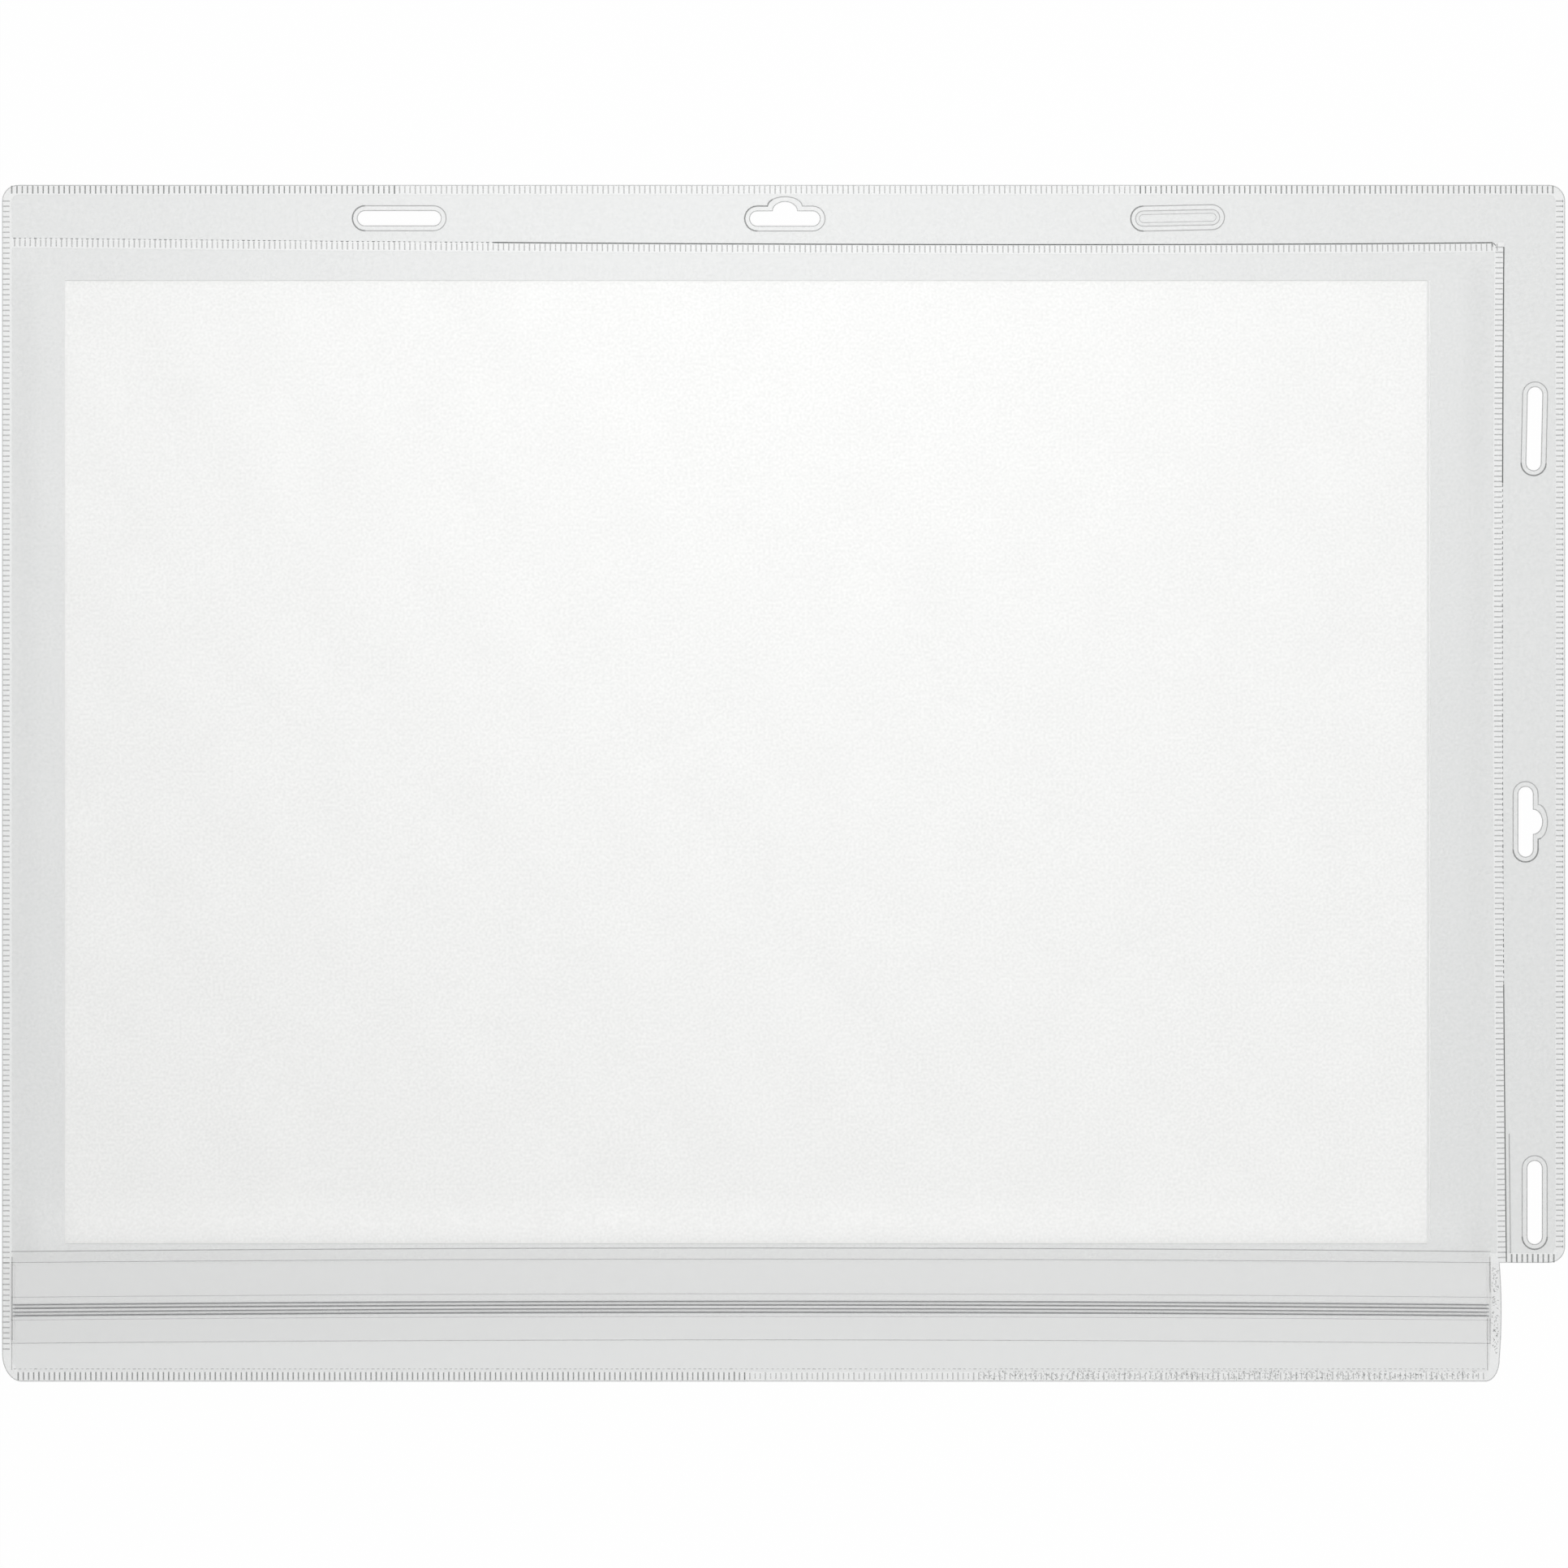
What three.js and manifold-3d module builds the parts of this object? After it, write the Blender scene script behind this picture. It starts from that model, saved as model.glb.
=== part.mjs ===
// Clear film document pocket for one A3 sheet, with a press-to-close strip along its bottom edge
// and a slotted hanging flange along its top and right edges.
// Millimetres. It lies on its back: +X to the right, +Y towards the top flange, +Z up.
// The origin is under the middle of the whole outline, on the surface that it lies on.
import * as THREE from 'three';
import { mergeVertices } from 'three/addons/utils/BufferGeometryUtils.js';
import Module from 'manifold-3d';

const wasm = await Module();
wasm.setup();

// Outline of the two films
const WIDTH = 482;
const HEIGHT = 369;
const NOTCH_WIDTH = 20.2;
const NOTCH_HEIGHT = 36.6;
const CORNER_RADIUS = 5;
const LOWER_LEFT_CORNER = { rx: 6, ry: 8.7 };
const LOWER_RIGHT_CORNER = { rx: 4.3, ry: 6.8 };
const SIDE_BULGE = 0.6;

// Film and its pressed seams
const FILM = 0.25;
const SEAM_WIDTH = 3;
const SEAM_DEPTH = 0.08;

// The seam between the pocket and its flange, which wanders a little off its straight line
const TOP_FLANGE = 18.3;
const TOP_SEAM_DROOP = { left: 2, middle: -1.2, right: 0.6 };
const TOP_SEAM_TURN = 61.5;
const RIGHT_FLANGE = 19.2;
const RIGHT_SEAM_SWAY = { top: 0.4, middle: -0.8, bottom: 1.2 };

// Hanging slots: inset is from the flange's outer edge, and along is from the middle of the top
// flange or from the lower end of the right flange
const SLOT_LENGTH = 25.7;
const SLOT_WIDTH = 4.5;
const EURO_SLOT_LENGTH = 21.6;
const EURO_HUMP_WIDTH = 7.5;
const EURO_HUMP_HEIGHT = 2.9;
const RING_WIDTH = 1.6;
const SLUG_CLEARANCE = 0.5;
const TOP_SLOTS = [
  { along: -118.5, inset: 10.3, tilt: 0, hump: false, open: true },
  { along: 0.4, inset: 10.4, tilt: 0, hump: true, open: true },
  { along: 121.5, inset: 10.2, tilt: 1.2, hump: false, open: false },
];
const RIGHT_SLOTS = [
  { along: 257.2, inset: 9.5, tilt: -1.3, hump: false, open: true },
  { along: 136, inset: 12.2, tilt: 0, hump: true, open: true },
  { along: 18.6, inset: 9.4, tilt: 0, hump: false, open: true },
];

// Press-to-close strip: two tapes, each with its half of the profile
const TAPE = 0.5;
const TAPE_LAP = 3.6;
const TAPE_BOW = 1.1;
const LIP_LENGTH = 24.8;
const TAPE_SETBACK = 0.3;
const PROFILE_DROP = 14.6;
const PROFILE_HEIGHT = 1.1;
const PAD_WIDTH = 5.4;
const PAD_HEIGHT = 0.2;
const HOOK_OFFSETS = [-1.72, -0.52, 0.52, 1.72];
const HOOK_WALL = 0.3;
const HOOK_LIP = 0.12;
const HOOK_LIP_HEIGHT = 0.3;
const RIB_STEM = 0.26;
const RIB_HEAD = 0.72;
const RIB_HEAD_HEIGHT = 0.4;
const RIB_BARB = 0.1;
const PROFILE_CLEARANCE = 0.1;
const END_STOP = 1;
const END_TAB = 0.08;

// The sheet of paper: these gaps in the window leave an A3 sheet, 420 by 297
const PAPER = 0.12;
const PAPER_LEFT_GAP = 16.4;
const PAPER_RIGHT_GAP = 19.6;
const PAPER_TOP_GAP = 7;
const PAPER_ZIP_GAP = 1.2;

// How far the front film stands off the back film, and how far inside the seams it gets there
const WINDOW_LIFT = 0.35;
const WINDOW_RAMP = 8;
const ZIP_RAMP = 18;

// How finely round stretches, gentle curves and ramps are cut
const ARC_STEPS = 10;
const SEAM_STEPS = 14;
const BOW_STEPS = 16;
const RAMP_STEPS = 4;
const ZIP_RAMP_STEPS = 6;

// Joined shapes sink this far into each other, and cutting shapes run this far past the film
const OVERLAP = 0.05;
const BEYOND = 5;
const MERGE_TOLERANCE = 1e-5;
const MIN_RADIUS = 0.5;

// Places that follow from the sizes above
const left = -WIDTH / 2;
const right = WIDTH / 2;
const bottom = -HEIGHT / 2;
const top = HEIGHT / 2;
const pocketRight = right - NOTCH_WIDTH;
const flangeBottom = bottom + NOTCH_HEIGHT;
const zipLeft = left + SEAM_WIDTH;
const zipRight = pocketRight - SEAM_WIDTH;
const zipMiddle = (zipLeft + zipRight) / 2;
const zipHalf = (zipRight - zipLeft) / 2;
const profileLeft = zipLeft + END_STOP / 2;
const profileRight = zipRight - END_STOP / 2;
const tapeTop = flangeBottom + TAPE_LAP;
const tapeLip = flangeBottom - LIP_LENGTH;
const profileMiddle = flangeBottom - PROFILE_DROP;
const backTapeTop = flangeBottom - TAPE_SETBACK;
const topSeam = top - TOP_FLANGE;
const rightSeam = right - RIGHT_FLANGE;
const windowLeft = left + SEAM_WIDTH;
const windowRight = rightSeam - SEAM_WIDTH + RIGHT_SEAM_SWAY.middle;
const windowTop = topSeam - SEAM_WIDTH + TOP_SEAM_DROOP.middle;

const slots = [
  ...TOP_SLOTS.map((slot) => ({ ...slot, x: slot.along, y: top - slot.inset, turn: 0 })),
  ...RIGHT_SLOTS.map((slot) => ({
    ...slot,
    x: right - slot.inset,
    y: flangeBottom + slot.along,
    turn: -Math.PI / 2,
  })),
];
const openSlots = slots.filter((slot) => slot.open);
const closedSlots = slots.filter((slot) => !slot.open);

// Levels, from the table up
const backTop = FILM;
const flangeTop = 2 * FILM;
const backTapeLevel = backTop + TAPE;
const frontTapeUnder = backTapeLevel + PROFILE_HEIGHT;
const frontTapeLevel = frontTapeUnder + TAPE;
const zipLift = frontTapeUnder - 2 * FILM;
const backTabTop = backTop + END_TAB;
const frontTabTop = backTabTop + END_TAB;

const filmMaterial = new THREE.MeshStandardMaterial({
  color: 0xe6eae8,
  roughness: 0.35,
  metalness: 0,
  transparent: true,
  opacity: 0.35,
});
const tapeMaterial = new THREE.MeshStandardMaterial({
  color: 0xd8dcda,
  roughness: 0.3,
  metalness: 0,
  transparent: true,
  opacity: 0.5,
});
const paperMaterial = new THREE.MeshStandardMaterial({ color: 0xf6f6f4, roughness: 0.9, metalness: 0 });

// Turns a closed geometry into a solid that can be cut and joined.
function toSolid(geometry) {
  geometry.deleteAttribute('normal');
  geometry.deleteAttribute('uv');
  const merged = mergeVertices(geometry, MERGE_TOLERANCE);
  const vertProperties = Float32Array.from(merged.attributes.position.array);
  const triVerts = Uint32Array.from(merged.index.array);
  return new wasm.Manifold(new wasm.Mesh({ numProp: 3, vertProperties, triVerts }));
}

// Turns a finished solid back into a named mesh.
function toMesh(solid, name, material) {
  const { vertProperties, triVerts } = solid.getMesh();
  const geometry = new THREE.BufferGeometry();
  geometry.setAttribute('position', new THREE.BufferAttribute(Float32Array.from(vertProperties), 3));
  geometry.setIndex(new THREE.BufferAttribute(Uint32Array.from(triVerts), 1));
  geometry.computeVertexNormals();
  const mesh = new THREE.Mesh(geometry, material);
  mesh.name = name;
  return mesh;
}

// A flat plate of the given plan shape between two levels.
function plateGeometry(shape, low, high, curveSegments = ARC_STEPS) {
  const geometry = new THREE.ExtrudeGeometry(shape, {
    depth: high - low,
    bevelEnabled: false,
    curveSegments,
  });
  return geometry.translate(0, 0, low);
}

// The same plate as a solid.
function plate(shape, low, high, curveSegments) {
  return toSolid(plateGeometry(shape, low, high, curveSegments));
}

// A rectangle between two opposite corners.
function rectangle(x0, y0, x1, y1) {
  const shape = new THREE.Shape();
  shape.moveTo(x0, y0);
  shape.lineTo(x1, y0);
  shape.lineTo(x1, y1);
  shape.lineTo(x0, y1);
  return shape;
}

// The outline of both films, drawn in by an inset: a rectangle with a notch at its lower right.
function outline(inset) {
  const x0 = left + inset;
  const x1 = pocketRight - inset;
  const x2 = right - inset;
  const y0 = bottom + inset;
  const y1 = flangeBottom + inset;
  const y2 = top - inset;
  const inside = (radius) => Math.max(radius - inset, MIN_RADIUS);
  const radius = inside(CORNER_RADIUS);
  const lowerLeft = { rx: inside(LOWER_LEFT_CORNER.rx), ry: inside(LOWER_LEFT_CORNER.ry) };
  const lowerRight = { rx: inside(LOWER_RIGHT_CORNER.rx), ry: inside(LOWER_RIGHT_CORNER.ry) };
  const lowerLeftX = x0 + lowerLeft.rx;
  const lowerLeftY = y0 + lowerLeft.ry;
  const lowerRightX = x1 - lowerRight.rx;
  const lowerRightY = y0 + lowerRight.ry;
  const shape = new THREE.Shape();
  shape.moveTo(lowerLeftX, y0);
  shape.lineTo(lowerRightX, y0);
  shape.absellipse(lowerRightX, lowerRightY, lowerRight.rx, lowerRight.ry, -Math.PI / 2, 0, false);
  shape.quadraticCurveTo(x1 + 2 * SIDE_BULGE, (lowerRightY + y1) / 2, x1, y1);
  shape.lineTo(x2 - radius, y1);
  shape.absarc(x2 - radius, y1 + radius, radius, -Math.PI / 2, 0, false);
  shape.lineTo(x2, y2 - radius);
  shape.absarc(x2 - radius, y2 - radius, radius, 0, Math.PI / 2, false);
  shape.lineTo(x0 + radius, y2);
  shape.absarc(x0 + radius, y2 - radius, radius, Math.PI / 2, Math.PI, false);
  shape.lineTo(x0, lowerLeftY);
  shape.absellipse(lowerLeftX, lowerLeftY, lowerLeft.rx, lowerLeft.ry, Math.PI, 1.5 * Math.PI, false);
  return shape;
}

// The band of the seam between pocket and flange: along the top, round the corner, down the right.
function innerSeamBand() {
  const droop = TOP_SEAM_DROOP;
  const sway = RIGHT_SEAM_SWAY;
  const middleX = (left + rightSeam) / 2 + TOP_SEAM_TURN;
  const middleY = (topSeam + flangeBottom) / 2;
  const corner = new THREE.Vector2(rightSeam + sway.top, topSeam + droop.right);
  const shape = new THREE.Shape();
  shape.moveTo(left, topSeam + droop.left);
  shape.lineTo(left, topSeam + droop.left - SEAM_WIDTH);
  shape.quadraticCurveTo(
    middleX,
    topSeam + droop.middle - SEAM_WIDTH,
    corner.x - SEAM_WIDTH,
    corner.y - SEAM_WIDTH,
  );
  shape.quadraticCurveTo(
    rightSeam + sway.middle - SEAM_WIDTH,
    middleY,
    rightSeam + sway.bottom - SEAM_WIDTH,
    flangeBottom,
  );
  shape.lineTo(rightSeam + sway.bottom, flangeBottom);
  shape.quadraticCurveTo(rightSeam + sway.middle, middleY, corner.x, corner.y);
  shape.quadraticCurveTo(middleX, topSeam + droop.middle, left, topSeam + droop.left);
  return shape;
}

// A hanging slot along X about the origin, or that slot grown by a margin.
function slotShape(slot, grow) {
  const length = (slot.hump ? EURO_SLOT_LENGTH : SLOT_LENGTH) + 2 * grow;
  const radius = SLOT_WIDTH / 2 + grow;
  const reach = length / 2 - radius;
  const shape = new THREE.Shape();
  shape.moveTo(-reach, -radius);
  shape.lineTo(reach, -radius);
  shape.absarc(reach, 0, radius, -Math.PI / 2, Math.PI / 2, false);
  if (slot.hump) {
    const half = EURO_HUMP_WIDTH / 2 + grow;
    shape.lineTo(half, radius);
    shape.absellipse(0, radius, half, EURO_HUMP_HEIGHT, 0, Math.PI, false);
  }
  shape.lineTo(-reach, radius);
  shape.absarc(-reach, 0, radius, Math.PI / 2, 1.5 * Math.PI, false);
  return shape;
}

// One plate of slot shape, at the slot's place.
function slotPlate(slot, grow, low, high) {
  const geometry = plateGeometry(slotShape(slot, grow), low, high);
  geometry.rotateZ(slot.turn + THREE.MathUtils.degToRad(slot.tilt));
  return toSolid(geometry.translate(slot.x, slot.y, 0));
}

// From 0 to 1 with level ends, over the given width.
function ramp(distance, width) {
  return THREE.MathUtils.smoothstep(distance, 0, width);
}

// How far the strip bows towards the top flange at a given x.
function bowAt(x) {
  const share = THREE.MathUtils.clamp((x - zipMiddle) / zipHalf, -1, 1);
  return TAPE_BOW * (1 - share * share);
}

// Even stations from one value to another.
function stations(from, to, count) {
  return Array.from({ length: count + 1 }, (_, i) => from + ((to - from) * i) / count);
}

// A closed sheet over a grid: place gives a grid point's y, low and high give its two faces.
function gridSheet(xs, ys, place, low, high) {
  const positions = [];
  const indices = [];
  const rows = ys.length;
  const layer = xs.length * rows;
  for (const level of [high, low]) {
    for (const x of xs) {
      for (const y of ys) {
        positions.push(x, place(x, y), level(x, y));
      }
    }
  }
  const quad = (a, b, c, d) => indices.push(a, b, c, a, c, d);
  const at = (i, j) => i * rows + j;
  for (let i = 0; i < xs.length - 1; i += 1) {
    for (let j = 0; j < rows - 1; j += 1) {
      quad(at(i, j), at(i + 1, j), at(i + 1, j + 1), at(i, j + 1));
      quad(at(i, j) + layer, at(i, j + 1) + layer, at(i + 1, j + 1) + layer, at(i + 1, j) + layer);
    }
    const far = rows - 1;
    quad(at(i, 0), at(i, 0) + layer, at(i + 1, 0) + layer, at(i + 1, 0));
    quad(at(i, far), at(i + 1, far), at(i + 1, far) + layer, at(i, far) + layer);
  }
  const last = xs.length - 1;
  for (let j = 0; j < rows - 1; j += 1) {
    quad(at(0, j), at(0, j + 1), at(0, j + 1) + layer, at(0, j) + layer);
    quad(at(last, j), at(last, j) + layer, at(last, j + 1) + layer, at(last, j + 1));
  }
  const geometry = new THREE.BufferGeometry();
  geometry.setAttribute('position', new THREE.Float32BufferAttribute(positions, 3));
  geometry.setIndex(indices);
  return toSolid(geometry);
}

// A bar of the given section in Y and Z that runs along X and bows with the strip.
function bowedBar(section, x0, x1) {
  const geometry = new THREE.ExtrudeGeometry(section, {
    depth: x1 - x0,
    steps: BOW_STEPS,
    bevelEnabled: false,
  });
  const position = geometry.attributes.position;
  for (let i = 0; i < position.count; i += 1) {
    const x = x0 + position.getZ(i);
    const y = position.getX(i) + bowAt(x);
    position.setXYZ(i, x, y, position.getY(i));
  }
  return toSolid(geometry);
}

// The back film: the whole outline, with the open slots through it.
function makeBackSheet() {
  const film = plate(outline(0), 0, backTop);
  return openSlots.reduce((rest, slot) => rest.subtract(slotPlate(slot, 0, -BEYOND, BEYOND)), film);
}

// How high the front film stands off the back film.
function filmLift(x, y) {
  const sides = ramp(x - windowLeft, WINDOW_RAMP) * ramp(windowRight - x, WINDOW_RAMP);
  const head = ramp(windowTop - y, WINDOW_RAMP);
  const nearZip = 1 - ramp(y - tapeTop, ZIP_RAMP);
  return sides * head * (WINDOW_LIFT + (zipLift - WINDOW_LIFT) * nearZip);
}

// The front film: flange and window in one piece down to the strip, with its seams pressed in.
function makeFrontSheet() {
  const xs = [
    left - BEYOND,
    ...stations(windowLeft, windowLeft + WINDOW_RAMP, RAMP_STEPS),
    ...stations(windowLeft + WINDOW_RAMP, windowRight - WINDOW_RAMP, BOW_STEPS).slice(1, -1),
    ...stations(windowRight - WINDOW_RAMP, windowRight, RAMP_STEPS),
    right + BEYOND,
  ];
  const ys = [
    flangeBottom,
    ...stations(tapeTop, tapeTop + ZIP_RAMP, ZIP_RAMP_STEPS),
    ...stations(windowTop - WINDOW_RAMP, windowTop, RAMP_STEPS),
    top + BEYOND,
  ];
  const place = (x, y) => y + bowAt(x) * (1 - ramp(y - tapeTop, ZIP_RAMP));
  const under = (x, y) => backTop + filmLift(x, y);
  const over = (x, y) => under(x, y) + FILM;
  const pressed = flangeTop - SEAM_DEPTH;
  const around = rectangle(left - BEYOND, bottom - BEYOND, right + BEYOND, top + BEYOND);
  const edgeBand = plate(around, pressed, flangeTop + BEYOND)
    .subtract(plate(outline(SEAM_WIDTH), 0, flangeTop + 2 * BEYOND));
  const film = gridSheet(xs, ys, place, under, over)
    .intersect(plate(outline(0), 0, frontTapeLevel + BEYOND))
    .subtract(edgeBand)
    .subtract(plate(innerSeamBand(), pressed, flangeTop + OVERLAP, SEAM_STEPS));
  const ringed = slots.reduce(
    (rest, slot) => rest.subtract(slotPlate(slot, RING_WIDTH, pressed, flangeTop + BEYOND)),
    film,
  );
  const slugged = closedSlots.reduce(
    (rest, slot) => rest.add(slotPlate(slot, -SLUG_CLEARANCE, backTop + OVERLAP, flangeTop)),
    ringed,
  );
  return openSlots.reduce((rest, slot) => rest.subtract(slotPlate(slot, 0, -BEYOND, BEYOND)), slugged);
}

// The front tape's section: four hooked walls hang under a slightly thicker pad.
function hookSection(offset, side) {
  const tip = backTapeLevel + PROFILE_CLEARANCE;
  const y0 = profileMiddle + offset - HOOK_WALL / 2;
  const y1 = y0 + HOOK_WALL;
  const shape = new THREE.Shape();
  shape.moveTo(y0, frontTapeUnder + OVERLAP);
  shape.lineTo(y0, tip + HOOK_LIP_HEIGHT);
  if (side < 0) {
    shape.lineTo(y0 - HOOK_LIP, tip + HOOK_LIP_HEIGHT / 2);
  }
  shape.lineTo(y0, tip);
  shape.lineTo(y1, tip);
  if (side > 0) {
    shape.lineTo(y1 + HOOK_LIP, tip + HOOK_LIP_HEIGHT / 2);
  }
  shape.lineTo(y1, tip + HOOK_LIP_HEIGHT);
  shape.lineTo(y1, frontTapeUnder + OVERLAP);
  return shape;
}

// The crushed end of the front tape: a stop that closes the profile, and a thin tab that runs out
// into the side seam. side is -1 at the left end and 1 at the right end.
function frontTapeEnd(side) {
  const end = side < 0 ? zipLeft : zipRight;
  const outer = side < 0 ? left : pocketRight + SIDE_BULGE;
  const face = end - side * OVERLAP;
  const inner = end - side * END_STOP;
  const low = tapeLip + END_STOP;
  const corners = [
    [outer + side * BEYOND, backTabTop],
    [inner, backTabTop],
    [inner, frontTapeUnder + OVERLAP],
    [face, frontTapeUnder + OVERLAP],
    [face, frontTabTop],
    [outer + side * BEYOND, frontTabTop],
  ];
  const section = new THREE.Shape(corners.map(([x, z]) => new THREE.Vector2(x, z)));
  const geometry = plateGeometry(section, 0, backTapeTop - low);
  geometry.rotateX(Math.PI / 2).translate(0, backTapeTop, 0);
  return toSolid(geometry).intersect(plate(outline(0), 0, frontTapeLevel));
}

// The front tape: lapped over the front film, then free down to its grip lip.
function makeFrontTape() {
  const xs = stations(zipLeft, zipRight, BOW_STEPS);
  const ys = [tapeLip, flangeBottom - OVERLAP, flangeBottom, tapeTop];
  const over = (x, y) => (y < flangeBottom ? frontTapeLevel : frontTapeLevel - SEAM_DEPTH);
  const body = gridSheet(xs, ys, (x, y) => y + bowAt(x), () => frontTapeUnder, over);
  const pad = bowedBar(
    rectangle(
      profileMiddle - PAD_WIDTH / 2,
      frontTapeLevel - OVERLAP,
      profileMiddle + PAD_WIDTH / 2,
      frontTapeLevel + PAD_HEIGHT,
    ),
    profileLeft,
    profileRight,
  );
  const hooks = HOOK_OFFSETS.map((offset, i) => {
    const side = i % 2 === 0 ? 1 : -1;
    return bowedBar(hookSection(offset, side), profileLeft, profileRight);
  });
  const ends = [frontTapeEnd(-1), frontTapeEnd(1)];
  return [pad, ...hooks, ...ends].reduce((joined, next) => joined.add(next), body);
}

// The back tape's rib: an arrow-headed rib that stands between two of the hooked walls.
function ribSection(offset) {
  const tip = frontTapeUnder - PROFILE_CLEARANCE;
  const neck = tip - RIB_HEAD_HEIGHT;
  const y = profileMiddle + offset;
  const shape = new THREE.Shape();
  shape.moveTo(y - RIB_STEM / 2, backTapeLevel - OVERLAP);
  shape.lineTo(y + RIB_STEM / 2, backTapeLevel - OVERLAP);
  shape.lineTo(y + RIB_STEM / 2, neck);
  shape.lineTo(y + RIB_HEAD / 2, neck + RIB_BARB);
  shape.lineTo(y + RIB_STEM / 2, tip);
  shape.lineTo(y - RIB_STEM / 2, tip);
  shape.lineTo(y - RIB_HEAD / 2, neck + RIB_BARB);
  shape.lineTo(y - RIB_STEM / 2, neck);
  return shape;
}

// The thin pressed tab of the back tape at one end of the strip.
function backTapeTab(x0, x1) {
  return plate(rectangle(x0, bottom - BEYOND, x1, backTapeTop), backTop, backTabTop)
    .intersect(plate(outline(0), 0, frontTapeLevel));
}

// The back tape: on the back film from the strip's upper seam to the bottom seam.
function makeBackTape() {
  const x0 = zipLeft + END_STOP + OVERLAP;
  const x1 = zipRight - END_STOP - OVERLAP;
  const xs = stations(x0, x1, BOW_STEPS);
  const seamTop = bottom + SEAM_WIDTH;
  const ys = [bottom, seamTop, seamTop + OVERLAP, backTapeTop];
  const place = (x, y) => (y > seamTop ? y + bowAt(x) * ((y - seamTop) / (backTapeTop - seamTop)) : y);
  const over = (x, y) => (y > seamTop ? backTapeLevel : backTapeLevel - SEAM_DEPTH);
  const body = gridSheet(xs, ys, place, () => backTop, over);
  const channels = [0, 2].map((i) => (HOOK_OFFSETS[i] + HOOK_OFFSETS[i + 1]) / 2);
  const ribs = channels.map((offset) => bowedBar(ribSection(offset), x0 + OVERLAP, x1 - OVERLAP));
  const tabs = [
    backTapeTab(left - BEYOND, x0 + END_STOP),
    backTapeTab(x1 - END_STOP, pocketRight + BEYOND),
  ];
  return [...ribs, ...tabs].reduce((joined, next) => joined.add(next), body);
}

// The sheet of paper lies on the back film and fits the window with a gap on each side.
function makeInsertSheet() {
  const x0 = windowLeft + PAPER_LEFT_GAP;
  const x1 = windowRight - PAPER_RIGHT_GAP;
  const y0 = tapeTop + TAPE_BOW + PAPER_ZIP_GAP;
  const y1 = windowTop - PAPER_TOP_GAP;
  return plate(rectangle(x0, y0, x1, y1), backTop, backTop + PAPER);
}

const group = new THREE.Group();
group.add(toMesh(makeBackSheet(), 'back_sheet', filmMaterial));
group.add(toMesh(makeFrontSheet(), 'front_sheet', filmMaterial));
group.add(toMesh(makeFrontTape(), 'zip_front_tape', tapeMaterial));
group.add(toMesh(makeBackTape(), 'zip_back_tape', tapeMaterial));
group.add(toMesh(makeInsertSheet(), 'insert_sheet', paperMaterial));

export default group;
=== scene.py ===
from math import cos, pi, sin

import bpy
import numpy as np
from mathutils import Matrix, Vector
from mathutils.geometry import delaunay_2d_cdt


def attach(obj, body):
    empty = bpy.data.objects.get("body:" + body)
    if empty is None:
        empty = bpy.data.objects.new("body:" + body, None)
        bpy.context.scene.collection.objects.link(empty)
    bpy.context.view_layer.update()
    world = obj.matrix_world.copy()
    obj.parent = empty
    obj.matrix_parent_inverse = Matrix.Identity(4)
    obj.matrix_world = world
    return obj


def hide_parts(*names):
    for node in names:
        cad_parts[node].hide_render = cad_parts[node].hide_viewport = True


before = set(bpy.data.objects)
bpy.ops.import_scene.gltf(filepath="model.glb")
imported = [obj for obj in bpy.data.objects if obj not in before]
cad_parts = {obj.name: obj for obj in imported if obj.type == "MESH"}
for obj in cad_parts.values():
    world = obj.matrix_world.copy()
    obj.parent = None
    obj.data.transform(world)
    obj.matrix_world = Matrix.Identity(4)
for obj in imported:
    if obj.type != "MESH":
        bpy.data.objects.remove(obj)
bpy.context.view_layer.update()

# The table that the pocket lies on: pale and matt, seen as pure white, with the pocket's faint
# shadow on it. Soft light comes from a large lamp over the top edge and from all round, and the
# camera looks straight down through a long lens.
MM = 0.001
PHOTO_SIDE = 1932
PHOTO_PIXELS_PER_MM = 3.995
PHOTO_MIDDLE = (965.5, 965.0)
CAMERA_HEIGHT = 2.0
SENSOR_WIDTH = 36.0
TABLE_SIZE = 8.0
TABLE_DROP = 0.00005
TABLE_COLOUR = "F2F2F2"
TABLE_GLOW_SHARE = 0.95
SKY_STRENGTH = 0.69
LAMP_POWER = 8.6
LAMP_PLACE = (-0.02, 0.36, 1.5)
LAMP_SIZE = (0.5, 0.36)
FILL_POWER = 4.8
FILL_PLACE = (0.6, -0.8, 1.5)
FILL_SIZE = 1.2


def linear(colour):
    """An sRGB hex colour as linear red, green and blue, with a full alpha."""
    parts = [int(colour[i:i + 2], 16) / 255 for i in (0, 2, 4)]
    return tuple(p / 12.92 if p <= 0.04045 else ((p + 0.055) / 1.055) ** 2.4 for p in parts) + (1.0,)


def node(tree, kind, settings=None, inputs=None):
    """Adds a node to a tree, with its settings and its inputs as values or links."""
    made = tree.nodes.new(kind)
    for name, value in (settings or {}).items():
        setattr(made, name, value)
    for name, value in (inputs or {}).items():
        if isinstance(value, bpy.types.NodeSocket):
            tree.links.new(value, made.inputs[name])
        else:
            made.inputs[name].default_value = value
    return made


def seen_share(tree, share):
    """The given share for rays from the camera, from gloss and through glass, and 0 for the rest."""
    path = node(tree, "ShaderNodeLightPath")
    seen = path.outputs["Is Camera Ray"]
    for name in ("Is Glossy Ray", "Is Transmission Ray"):
        both = node(tree, "ShaderNodeMath", {"operation": "MAXIMUM"}, {0: seen, 1: path.outputs[name]})
        seen = both.outputs[0]
    return node(tree, "ShaderNodeMath", {"operation": "MULTIPLY"}, {0: seen, 1: share}).outputs[0]


scene = bpy.context.scene
scene.view_settings.view_transform = "Standard"

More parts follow.
